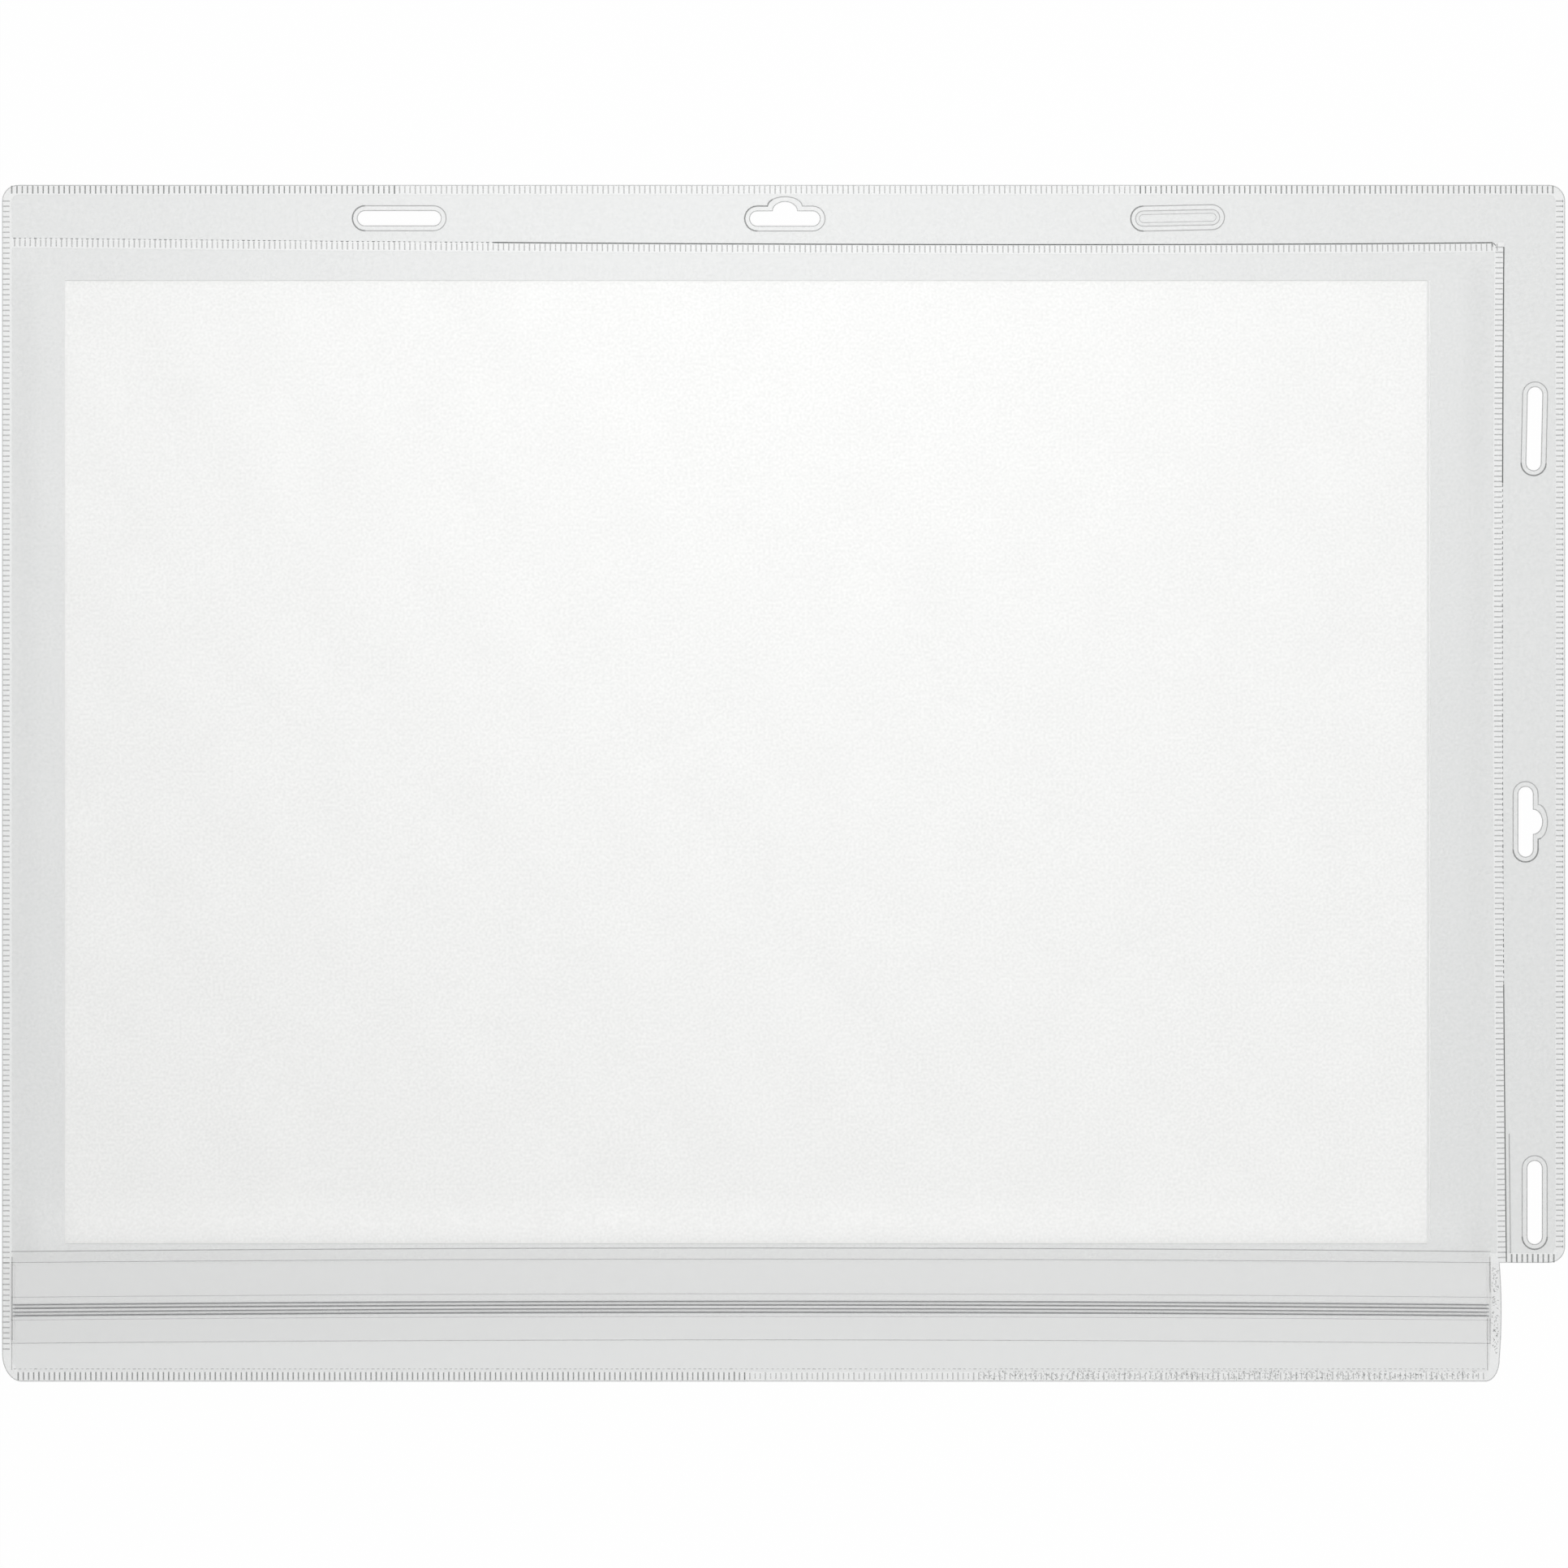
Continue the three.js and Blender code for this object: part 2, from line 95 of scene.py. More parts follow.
half = TABLE_SIZE / 2
table_mesh = bpy.data.meshes.new("table")
table_mesh.from_pydata(
    [(x, y, -TABLE_DROP) for x, y in ((-half, -half), (half, -half), (half, half), (-half, half))],
    [],
    [(0, 1, 2, 3)],
)
table = bpy.data.objects.new("table", table_mesh)
scene.collection.objects.link(table)

white_laminate = bpy.data.materials.new("white_matt_laminate")
white_laminate.use_nodes = True
tree = white_laminate.node_tree
tree.nodes.clear()
matt = node(tree, "ShaderNodeBsdfDiffuse", inputs={"Color": linear(TABLE_COLOUR)})
glow = node(tree, "ShaderNodeEmission", inputs={"Strength": 1.0})
shown = node(
    tree,
    "ShaderNodeMixShader",
    inputs={0: seen_share(tree, TABLE_GLOW_SHARE), 1: matt.outputs[0], 2: glow.outputs[0]},
)
node(tree, "ShaderNodeOutputMaterial", inputs={"Surface": shown.outputs[0]})
table_mesh.materials.append(white_laminate)

sky = bpy.data.worlds.new("soft_white_sky")
scene.world = sky
sky.use_nodes = True
tree = sky.node_tree
tree.nodes.clear()
even_light = node(tree, "ShaderNodeBackground", inputs={"Strength": SKY_STRENGTH})
white = node(tree, "ShaderNodeBackground", inputs={"Strength": 1.0})
shown = node(
    tree,
    "ShaderNodeMixShader",
    inputs={0: seen_share(tree, 1.0), 1: even_light.outputs[0], 2: white.outputs[0]},
)
node(tree, "ShaderNodeOutputWorld", inputs={"Surface": shown.outputs[0]})


def soft_lamp(name, place, size, power):
    """A rectangular soft lamp that points at the middle of the pocket."""
    data = bpy.data.lights.new(name, "AREA")
    data.shape = "RECTANGLE"
    data.size, data.size_y = size
    data.energy = power
    lamp = bpy.data.objects.new(name, data)
    lamp.location = place
    lamp.rotation_euler = (-Vector(place)).to_track_quat("-Z", "Y").to_euler()
    lamp.visible_camera = False
    scene.collection.objects.link(lamp)


soft_lamp("lamp_over_top_edge", LAMP_PLACE, LAMP_SIZE, LAMP_POWER)
soft_lamp("fill_lamp", FILL_PLACE, (FILL_SIZE, FILL_SIZE), FILL_POWER)

camera_data = bpy.data.cameras.new("camera")
camera_data.sensor_width = SENSOR_WIDTH
view_width = PHOTO_SIDE / PHOTO_PIXELS_PER_MM * MM
camera_data.lens = SENSOR_WIDTH * CAMERA_HEIGHT / view_width
camera = bpy.data.objects.new("camera", camera_data)
camera.location = (
    (PHOTO_SIDE / 2 - PHOTO_MIDDLE[0]) / PHOTO_PIXELS_PER_MM * MM,
    (PHOTO_MIDDLE[1] - PHOTO_SIDE / 2) / PHOTO_PIXELS_PER_MM * MM,
    CAMERA_HEIGHT,
)
scene.collection.objects.link(camera)
scene.camera = camera

# The back film: calendered clear soft PVC, a quarter of a millimetre thick and die-cut to the whole
# outline, with the hanging slots punched through it. It lies flat on the table.
WIDTH = 482 * MM
HEIGHT = 369 * MM
NOTCH_WIDTH = 20.2 * MM
NOTCH_HEIGHT = 36.6 * MM
CORNER_RADIUS = 5 * MM
LOWER_LEFT_CORNER = (6 * MM, 8.7 * MM)
LOWER_RIGHT_CORNER = (4.3 * MM, 6.8 * MM)
SIDE_BULGE = 0.6 * MM
FILM = 0.25 * MM
FILM_CLEARANCE = 0.01 * MM
SEAM_WIDTH = 3 * MM
SEAM_DEPTH = 0.08 * MM
SEAM_SLOPE = 0.2 * MM
SEAM_CORNER = (0.4 * MM, 0.6 * MM)
SEAM_OVERRUN = MM
TOP_SEAM_TURN = 61.5 * MM
TOP_SEAM_DIP = 1.2 * MM
TOP_SEAM_LEFT_RISE = 2 * MM
SIDE_SEAM_DIP = 0.8 * MM
SIDE_SEAM_LOW_SHIFT = 1.2 * MM
SMALLEST_CORNER = 0.5 * MM
TOP_FLANGE = 18.3 * MM
RIGHT_FLANGE = 19.2 * MM
SLOT_LENGTH = 25.7 * MM
SLOT_WIDTH = 4.5 * MM
EURO_SLOT_LENGTH = 21.6 * MM
EURO_HUMP_WIDTH = 7.5 * MM
EURO_HUMP_HEIGHT = 2.9 * MM
RING_WIDTH = 1.6 * MM
ARC_STEPS = 12
CURVE_STEPS = 60
FINE_STEPS = 480
SEAM_EDGE_ANGLE = 8 * pi / 180
FILM_SPACING = 3 * MM
ROW_SHARE = 0.87
BACK_FILM_COLOUR = "808684"
BACK_FILM_HAZE = 0.2
WELD_HAZE_LEFT = 0.74
RING_CLEARING = 0.3
PVC_IOR = 1.5
GRAIN_SIZE = 0.8 * MM
FILM_ROUGHNESS = 0.44
GRAIN_HEIGHT = 0.02 * MM

left = -WIDTH / 2
right = WIDTH / 2
bottom = -HEIGHT / 2
top = HEIGHT / 2
pocket_right = right - NOTCH_WIDTH
flange_bottom = bottom + NOTCH_HEIGHT
top_seam = top - TOP_FLANGE
right_seam = right - RIGHT_FLANGE
back_top = FILM

# Each slot's middle, its turn and tilt, whether it has a hump and whether it is open.
SLOTS = [
    ((-118.5 * MM, top - 10.3 * MM), 0.0, False, True),
    ((0.4 * MM, top - 10.4 * MM), 0.0, True, True),
    ((121.5 * MM, top - 10.2 * MM), 1.2 * pi / 180, False, False),
    ((right - 9.5 * MM, flange_bottom + 257.2 * MM), -91.3 * pi / 180, False, True),
    ((right - 12.2 * MM, flange_bottom + 136 * MM), -pi / 2, True, True),
    ((right - 9.4 * MM, flange_bottom + 18.6 * MM), -pi / 2, False, True),
]


def arc(middle, radii, start, end, steps=ARC_STEPS):
    """Points along an elliptic arc between two angles."""
    return [
        (middle[0] + radii[0] * cos(a), middle[1] + radii[1] * sin(a))
        for a in np.linspace(start, end, steps + 1)
    ]


def bend(a, b, c, steps=CURVE_STEPS):
    """Points along a quadratic curve from a to c that b pulls towards itself."""
    a, b, c = (np.array(p) for p in (a, b, c))
    shares = np.linspace(0, 1, steps + 1)
    return [tuple((1 - t) ** 2 * a + 2 * t * (1 - t) * b + t * t * c) for t in shares]


def straight(a, b, spacing=FILM_SPACING):
    """Points along a straight line, without its last one."""
    a, b = np.array(a), np.array(b)
    steps = max(1, int(np.hypot(*(b - a)) / spacing))
    return [tuple(a + (b - a) * i / steps) for i in range(steps)]


def corner_arc(middle, radii, quarter, steps=ARC_STEPS):
    """A quarter round corner that starts at the given number of quarter turns."""
    return arc(middle, radii, quarter * pi / 2, (quarter + 1) * pi / 2, steps)


def outline(inset=0.0):
    """The films' whole outline, drawn in by an inset, anticlockwise from the lower left corner."""
    x0, x1, x2 = left + inset, pocket_right - inset, right - inset
    y0, y1, y2 = bottom + inset, flange_bottom + inset, top - inset
    r = max(CORNER_RADIUS - inset, SMALLEST_CORNER)
    lower_left = [max(v - inset, SMALLEST_CORNER) for v in LOWER_LEFT_CORNER]
    lower_right = [max(v - inset, SMALLEST_CORNER) for v in LOWER_RIGHT_CORNER]
    side = bend(
        (x1, y0 + lower_right[1]),
        (x1 + 2 * SIDE_BULGE, (y0 + lower_right[1] + y1) / 2),
        (x1, y1),
        ARC_STEPS,
    )
    stops = [
        corner_arc((x1 - lower_right[0], y0 + lower_right[1]), lower_right, 3),
        side[1:],
        corner_arc((x2 - r, y1 + r), (r, r), 3),
        corner_arc((x2 - r, y2 - r), (r, r), 0),
        corner_arc((x0 + r, y2 - r), (r, r), 1),
        corner_arc((x0 + lower_left[0], y0 + lower_left[1]), lower_left, 2),
    ]
    points = []
    for i, stop in enumerate(stops):
        points += stop[:-1]
        points += straight(stop[-1], stops[(i + 1) % len(stops)][0])
    return points


def slot_outline(slot, grow=0.0):
    """A slot's outline at its place, grown by a margin."""
    (cx, cy), turn, hump, _ = slot
    radius = SLOT_WIDTH / 2 + grow
    reach = (EURO_SLOT_LENGTH if hump else SLOT_LENGTH) / 2 + grow - radius
    points = arc((reach, 0), (radius, radius), -pi / 2, pi / 2)
    if hump:
        half_hump = EURO_HUMP_WIDTH / 2 + grow
        points += arc((0, radius), (half_hump, EURO_HUMP_HEIGHT), 0, pi)
    points += arc((-reach, 0), (radius, radius), pi / 2, 3 * pi / 2)
    c, s = cos(turn), sin(turn)
    return [(cx + x * c - y * s, cy + x * s + y * c) for x, y in points]


def seam_band(grow=0.0, steps=CURVE_STEPS):
    """The seam between the pocket and its flange as one closed outline, grown by a margin."""
    outer_corner = (right_seam + SEAM_CORNER[0] + grow, top_seam + SEAM_CORNER[1] + grow)
    inner_corner = tuple(v - SEAM_WIDTH - 2 * grow for v in outer_corner)
    wide = SEAM_WIDTH + grow
    left_end = (left - SEAM_OVERRUN, top_seam + TOP_SEAM_LEFT_RISE)
    low_end = (right_seam + SIDE_SEAM_LOW_SHIFT, flange_bottom - SEAM_OVERRUN)
    top_pull = ((left + right_seam) / 2 + TOP_SEAM_TURN, top_seam - TOP_SEAM_DIP)
    side_pull = (right_seam - SIDE_SEAM_DIP, (top_seam + flange_bottom) / 2)
    upper = bend(
        (left_end[0], left_end[1] + grow),
        (top_pull[0], top_pull[1] + grow),
        outer_corner,
        steps,
    )
    outer = bend(
        outer_corner,
        (side_pull[0] + grow, side_pull[1]),
        (low_end[0] + grow, low_end[1]),
        steps,
    )
    inner = bend(
        (low_end[0] - wide, low_end[1]),
        (side_pull[0] - wide, side_pull[1]),
        inner_corner,
        steps,
    )
    lower = bend(
        inner_corner,
        (top_pull[0], top_pull[1] - wide),
        (left_end[0], left_end[1] - wide),
        steps,
    )
    return upper[:-1] + outer + inner[:-1] + lower


def loop_sides(loop):
    """The two ends of each side of a closed loop."""
    a = np.array(loop)
    return a, np.roll(a, -1, axis=0)


def inside(points, loops):
    """Which points lie inside an odd number of loops."""
    result = np.zeros(len(points), dtype=bool)
    x, y = points[:, 0, None], points[:, 1, None]
    for loop in loops:
        a, b = loop_sides(loop)
        crosses = (a[:, 1] > y) != (b[:, 1] > y)
        run = np.where(b[:, 1] == a[:, 1], 1.0, b[:, 1] - a[:, 1])
        at = a[:, 0] + (y - a[:, 1]) * (b[:, 0] - a[:, 0]) / run
        result ^= (np.sum(crosses & (x < at), axis=1) % 2).astype(bool)
    return result


def nearest(points, loop):
    """Each point's distance to a closed loop."""
    a, b = loop_sides(loop)
    along = b - a
    length = np.maximum(np.sum(along * along, axis=1), 1e-18)
    best = np.full(len(points), 1e9)
    for i in range(len(a)):
        t = np.clip(((points - a[i]) @ along[i]) / length[i], 0, 1)
        gap = points - (a[i] + t[:, None] * along[i])
        best = np.minimum(best, np.hypot(gap[:, 0], gap[:, 1]))
    return best


def within_share(points, loop, within=True):
    """From 0 outside a loop to 1 inside it, or the other way round."""
    gap = nearest(points, loop) * np.where(inside(points, [loop]) == within, 1, -1)
    return np.clip(0.5 + gap / SEAM_SLOPE, 0, 1)


def weld_share(points):
    """From 0 on free film to 1 where the two films are pressed into one, and how far that clears
    the film: the rings round the slots stay nearly as hazy as the free film."""
    seams = np.maximum(
        within_share(points, outline(SEAM_WIDTH), False),
        within_share(points, seam_band()),
    )
    rings = np.zeros(len(points))
    for slot in SLOTS:
        ring = within_share(points, slot_outline(slot, RING_WIDTH))
        rings = np.maximum(rings, ring * (1 - within_share(points, slot_outline(slot, -SEAM_SLOPE))))
    return np.maximum(seams, rings), np.maximum(seams, rings * RING_CLEARING)


def film_piece(name, loops, guides, levels, spacing=FILM_SPACING):
    """A closed film: fine triangles between the loops, with edges along the guides. levels gives
    each point's lower and upper height and its share of weld."""
    rings = [np.array(loop) for loop in loops + guides]
    xs, ys = rings[0][:, 0], rings[0][:, 1]
    grid = np.array([
        (x + (spacing / 2 if row % 2 else 0), y)
        for row, y in enumerate(np.arange(ys.min(), ys.max(), spacing * ROW_SHARE))
        for x in np.arange(xs.min(), xs.max(), spacing)
    ])
    grid = grid[inside(grid, loops)]
    for ring in rings:
        grid = grid[nearest(grid, ring) > spacing / 3]
    points = [tuple(p) for ring in rings for p in ring] + [tuple(p) for p in grid]
    edges = []
    start = 0
    for ring in rings:
        count = len(ring)
        edges += [(start + i, start + (i + 1) % count) for i in range(count)]
        start += count
    flat = [Vector((x / MM, y / MM)) for x, y in points]
    found, _, triangles, _, _, _ = delaunay_2d_cdt(flat, edges, [], 0, 1e-5)
    plan = np.array([(v.x * MM, v.y * MM) for v in found])
    triangles = np.array([t for t in triangles if len(t) == 3])
    triangles = triangles[inside(plan[triangles].mean(axis=1), loops)]
    used, triangles = np.unique(triangles, return_inverse=True)
    triangles = triangles.reshape(-1, 3)
    plan = plan[used]
    low, high, weld = levels(plan)
    count = len(plan)
    directed = {(t[i], t[(i + 1) % 3]) for t in triangles.tolist() for i in range(3)}
    rim = [(a, b) for a, b in directed if (b, a) not in directed]
    faces = triangles.tolist()
    faces += [[c + count, b + count, a + count] for a, b, c in triangles.tolist()]
    faces += [[a, a + count, b + count, b] for a, b in rim]
    coords = np.vstack([np.column_stack([plan, high]), np.column_stack([plan, low])])
    mesh = bpy.data.meshes.new(name)
    mesh.from_pydata(coords.tolist(), [], faces)
    attribute = mesh.attributes.new("weld", "FLOAT", "POINT")
    attribute.data.foreach_set("value", np.concatenate([weld, weld]).astype(np.float32))
    mesh.shade_smooth()
    mesh.set_sharp_from_angle(angle=SEAM_EDGE_ANGLE)
    piece = bpy.data.objects.new(name, mesh)
    scene.collection.objects.link(piece)
    return piece


def clear_vinyl(name, colour, haze, roughness, is_film=False, grain_share=0.0, gloss=False):
    """Clear soft PVC: mostly see-through, with a little haze of its own. A film is hazed less where it
    is welded, one with grain is finely speckled and pitted, and gloss adds a full soft sheen."""
    material = bpy.data.materials.new(name)
    material.use_nodes = True
    material.surface_render_method = "BLENDED"
    tree = material.node_tree
    tree.nodes.clear()
    look = {"Base Color": linear(colour), "Roughness": roughness, "IOR": PVC_IOR, "Alpha": haze}
    sheen = {"Color": (1, 1, 1, 1), "Roughness": roughness}
    mirror = {"IOR": PVC_IOR}
    if is_film:
        weld = node(tree, "ShaderNodeAttribute", {"attribute_name": "weld"}).outputs["Fac"]
        clearer = node(
            tree,
            "ShaderNodeMapRange",
            inputs={"Value": weld, "To Min": haze, "To Max": haze * WELD_HAZE_LEFT},
        )
        look["Alpha"] = clearer.outputs[0]
    if grain_share > 0:
        place = node(tree, "ShaderNodeTexCoord").outputs["Object"]
        grain = node(
            tree,
            "ShaderNodeTexNoise",
            inputs={"Vector": place, "Scale": 1 / GRAIN_SIZE, "Detail": 0.0},
        )
        speckle = node(
            tree,
            "ShaderNodeMapRange",
            inputs={
                "Value": grain.outputs["Fac"],
                "From Min": 0.25,
                "From Max": 0.75,
                "To Min": 1 - grain_share,
                "To Max": 1 + grain_share,
            },
        )
        alpha = node(
            tree,
            "ShaderNodeMath",
            {"operation": "MULTIPLY"},
            {0: clearer.outputs[0], 1: speckle.outputs[0]},
        )
        bump = node(
            tree,
            "ShaderNodeBump",
            inputs={"Height": grain.outputs["Fac"], "Distance": GRAIN_HEIGHT, "Strength": 1.0},
        )
        look.update({"Alpha": alpha.outputs[0], "Normal": bump.outputs[0]})
        sheen["Normal"] = bump.outputs[0]
        mirror["Normal"] = bump.outputs[0]
    surface = node(tree, "ShaderNodeBsdfPrincipled", inputs=look)
    if gloss:
        coat = node(tree, "ShaderNodeBsdfGlossy", inputs=sheen)
        edge = node(tree, "ShaderNodeFresnel", inputs=mirror)
        surface = node(
            tree,
            "ShaderNodeMixShader",
            inputs={0: edge.outputs[0], 1: surface.outputs[0], 2: coat.outputs[0]},
        )
    node(tree, "ShaderNodeOutputMaterial", inputs={"Surface": surface.outputs[0]})
    return material


weld_guides = [outline(SEAM_WIDTH + side * SEAM_SLOPE / 2) for side in (-1, 1)]
weld_guides += [seam_band(side * SEAM_SLOPE / 2) for side in (-1, 1)]
open_slots = [slot for slot in SLOTS if slot[3]]
slot_holes = [slot_outline(slot) for slot in open_slots]
ring_guides = [
    slot_outline(slot, RING_WIDTH + side * SEAM_SLOPE / 2) for slot in SLOTS for side in (-1, 1)
]
ring_guides += [
    slot_outline(slot, (side / 2 - 1) * SEAM_SLOPE) for slot in SLOTS if not slot[3] for side in (-1, 1)
]

back_film = film_piece(
    "back_film",
    [outline()] + slot_holes,
    weld_guides + ring_guides,
    lambda plan: (
        np.zeros(len(plan)),
        np.full(len(plan), back_top - FILM_CLEARANCE),
        weld_share(plan)[1],
    ),
    2 * FILM_SPACING,
)
# Calendered soft PVC, satin on the side that shows: a faint grey-green tone and a broad, soft gloss.
back_film.data.materials.append(
    clear_vinyl("calendered_clear_pvc", BACK_FILM_COLOUR, BACK_FILM_HAZE, FILM_ROUGHNESS, True)
)
# It lies flat on the table, so no shade of its own would be seen.
back_film.visible_shadow = False
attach(back_film, "root")
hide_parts("back_sheet")

# The insert: one blank A3 sheet of uncoated white copier paper that lies between the films, a
# little above the closing strip.
PAPER_MOTTLE = 18 * MM
FIBRE = 0.5 * MM
FIBRE_HEIGHT = 0.004 * MM
PAPER_TONES = ("F3F3F2", "F7F7F6")

paper = bpy.data.materials.new("uncoated_copier_paper")
paper.use_nodes = True
tree = paper.node_tree
tree.nodes.clear()
place = node(tree, "ShaderNodeTexCoord").outputs["Object"]
cloud = node(
    tree, "ShaderNodeTexNoise", inputs={"Vector": place, "Scale": 1 / PAPER_MOTTLE, "Detail": 3.0}
)
fibre = node(tree, "ShaderNodeTexNoise", inputs={"Vector": place, "Scale": 1 / FIBRE, "Detail": 4.0})
tone = node(
    tree,
    "ShaderNodeMix",
    {"data_type": "RGBA"},
    {0: cloud.outputs["Fac"], 6: linear(PAPER_TONES[0]), 7: linear(PAPER_TONES[1])},
)
bump = node(
    tree,
    "ShaderNodeBump",
    inputs={"Height": fibre.outputs["Fac"], "Distance": FIBRE_HEIGHT, "Strength": 0.5},
)
# Uncoated paper is matt and even, with a slight cloudy look from its fibres, which are drawn
# coarser than life.
body = node(
    tree,
    "ShaderNodeBsdfPrincipled",
    inputs={"Base Color": tone.outputs[2], "Roughness": 0.9, "IOR": 1.5, "Normal": bump.outputs[0]},
)
node(tree, "ShaderNodeOutputMaterial", inputs={"Surface": body.outputs[0]})
insert = bpy.data.objects["insert_sheet"]
insert.data.materials.clear()
insert.data.materials.append(paper)

# The back tape of the closing strip: clear extruded PVC, sealed to the back film from the strip's
# upper seam to the pocket's lower edge, with two arrow-headed ribs along it.
TAPE_COLOUR = "B8BCBA"
TAPE_HAZE = 0.032

extruded = clear_vinyl("extruded_clear_pvc", TAPE_COLOUR, TAPE_HAZE, 0.4, gloss=True)
back_tape = bpy.data.objects["zip_back_tape"]
back_tape.data.materials.clear()
back_tape.data.materials.append(extruded)

# The front film: clear soft PVC with a fine matt grain pressed into it, heat-sealed to the back film
# all round, round each slot and along the line between pocket and flange. Over the pocket it
# stands a little off the paper, in very shallow waves.
WINDOW_LIFT = 0.35 * MM
WINDOW_RAMP = 8 * MM
ZIP_RAMP = 18 * MM
ZIP_LIFT = 1.35 * MM
TAPE_LAP = 3.6 * MM
TAPE_BOW = 1.1 * MM
SLUG_CLEARANCE = 0.5 * MM
WAVE_HEIGHT = 0.1 * MM
WAVE_LENGTHS = ((95 * MM, 140 * MM, 0.4), (61 * MM, -83 * MM, 1.9), (38 * MM, 52 * MM, 4.1))
FRONT_FILM_COLOUR = "969C9A"
FRONT_FILM_HAZE = 0.042
FRONT_FILM_GRAIN = 0.4

window_left = left + SEAM_WIDTH
window_right = right_seam - SEAM_WIDTH - SIDE_SEAM_DIP
window_top = top_seam - SEAM_WIDTH - TOP_SEAM_DIP
zip_right = pocket_right - SEAM_WIDTH
zip_middle = (window_left + zip_right) / 2
zip_half = (zip_right - window_left) / 2
tape_top = flange_bottom + TAPE_LAP


def ramp(distance, width):
    """From 0 to 1 with level ends, over the given width."""
    t = np.clip(distance / width, 0, 1)
    return t * t * (3 - 2 * t)


def bow_at(x):
    """How far the strip bows towards the top flange at a given x."""
    return TAPE_BOW * (1 - np.clip((x - zip_middle) / zip_half, -1, 1) ** 2)


def front_film_levels(plan):
    """The front film's lower and upper heights, and its share of weld."""
    x, y = plan[:, 0], plan[:, 1]
    free = ramp(x - window_left, WINDOW_RAMP) * ramp(window_right - x, WINDOW_RAMP)
    free = free * ramp(window_top - y, WINDOW_RAMP)
    near_zip = 1 - ramp(y - tape_top, ZIP_RAMP)
    wave = sum(np.sin(2 * pi * (x / a + y / b) + phase) for a, b, phase in WAVE_LENGTHS)
    wave = wave * WAVE_HEIGHT / len(WAVE_LENGTHS)
    lift = free * (WINDOW_LIFT + (ZIP_LIFT - WINDOW_LIFT) * near_zip + wave * (1 - near_zip))
    pressed, cleared = weld_share(plan)
    low = back_top + lift
    high = low + FILM - FILM_CLEARANCE - SEAM_DEPTH * pressed * (lift < MM / 2)
    return low, high, cleared


lower_edge = [(x, flange_bottom + bow_at(x)) for x in np.linspace(left, pocket_right, CURVE_STEPS)]
upper_outline = [
    p for p in outline() if p[1] > flange_bottom + 0.2 * TAPE_BOW or p[0] > pocket_right + MM
]
start = min(
    range(len(upper_outline)),
    key=lambda i: np.hypot(upper_outline[i][0] - pocket_right, upper_outline[i][1] - flange_bottom),
)
upper_outline = upper_outline[start:] + upper_outline[:start]
film_edge = lower_edge + upper_outline
front_film = film_piece(
    "front_film",
    [film_edge] + slot_holes,
    weld_guides + ring_guides,
    front_film_levels,
)
# Soft PVC pressed with a fine matt grain: the gloss is broad and dull, and the tone a touch green.
# The grain is finer in life, and is drawn just coarse enough to show.
front_film.data.materials.append(
    clear_vinyl(
        "grained_clear_pvc",
        FRONT_FILM_COLOUR,
        FRONT_FILM_HAZE,
        FILM_ROUGHNESS,
        True,
        FRONT_FILM_GRAIN,
        True,
    )
)
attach(front_film, "root")
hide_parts("front_sheet")

# The front tape of the closing strip: clear extruded PVC, lapped over the front film's lower edge and
# free below the profile as a grip lip.
front_tape = bpy.data.objects["zip_front_tape"]
front_tape.data.materials.clear()
front_tape.data.materials.append(extruded)

# The four hooked walls of the profile, under the front tape. They are the same clear PVC, but their
# steep sides bend the light away, so they show through the tape as grey lines.
PROFILE_MIDDLE = flange_bottom - 14.6 * MM
HOOK_OFFSETS = (-1.72 * MM, -0.52 * MM, 0.52 * MM, 1.72 * MM)
HOOK_LEVEL = 1.35 * MM
HOOK_THICKNESS = (0.46 * MM, 0.34 * MM, 0.38 * MM, 0.46 * MM)
HOOK_COLOUR = "63696C"
HOOK_HAZE = 0.42
HOOK_END = 0.4 * MM


def finished(name, path, tree, inputs, material):
    """Runs a node tree on a path's points and keeps the result as a plain mesh."""
    points, closed = path
    count = len(points)
    edges = [(i, (i + 1) % count) for i in range(count if closed else count - 1)]
    mesh = bpy.data.meshes.new(name + "_path")
    mesh.from_pydata(points, edges, [])
    return grown(name, mesh, tree, inputs, material)


def grown(name, mesh, tree, inputs, material):
    """Runs a node tree on a mesh and keeps the result as a plain mesh with one material. What it
    makes is too fine to throw a shade."""
    piece = bpy.data.objects.new(name, mesh)
    piece.visible_shadow = False
    scene.collection.objects.link(piece)
    modifier = piece.modifiers.new("grow", "NODES")
    modifier.node_group = tree
    items = tree.interface.items_tree
    sockets = {item.name: item.identifier for item in items if item.in_out == "INPUT"}
    for label, value in {**inputs, "Material": material}.items():
        modifier[sockets[label]] = value
    depsgraph = bpy.context.evaluated_depsgraph_get()
    result = bpy.data.meshes.new_from_object(piece.evaluated_get(depsgraph))
    piece.modifiers.clear()
    piece.data = result
    result.name = name
    result.shade_smooth()
    result.set_sharp_from_angle(angle=pi / 4)
    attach(piece, "root")
    return piece


def new_tree(name, sizes):
    """An empty Geometry Nodes tree with a geometry in and out, named sizes and a material."""
    tree = bpy.data.node_groups.new(name, "GeometryNodeTree")
    tree.interface.new_socket("Geometry", in_out="INPUT", socket_type="NodeSocketGeometry")
    for label in sizes:
        tree.interface.new_socket(label, in_out="INPUT", socket_type="NodeSocketFloat")
    tree.interface.new_socket("Material", in_out="INPUT", socket_type="NodeSocketMaterial")
    tree.interface.new_socket("Geometry", in_out="OUTPUT", socket_type="NodeSocketGeometry")
    return tree, node(tree, "NodeGroupInput").outputs


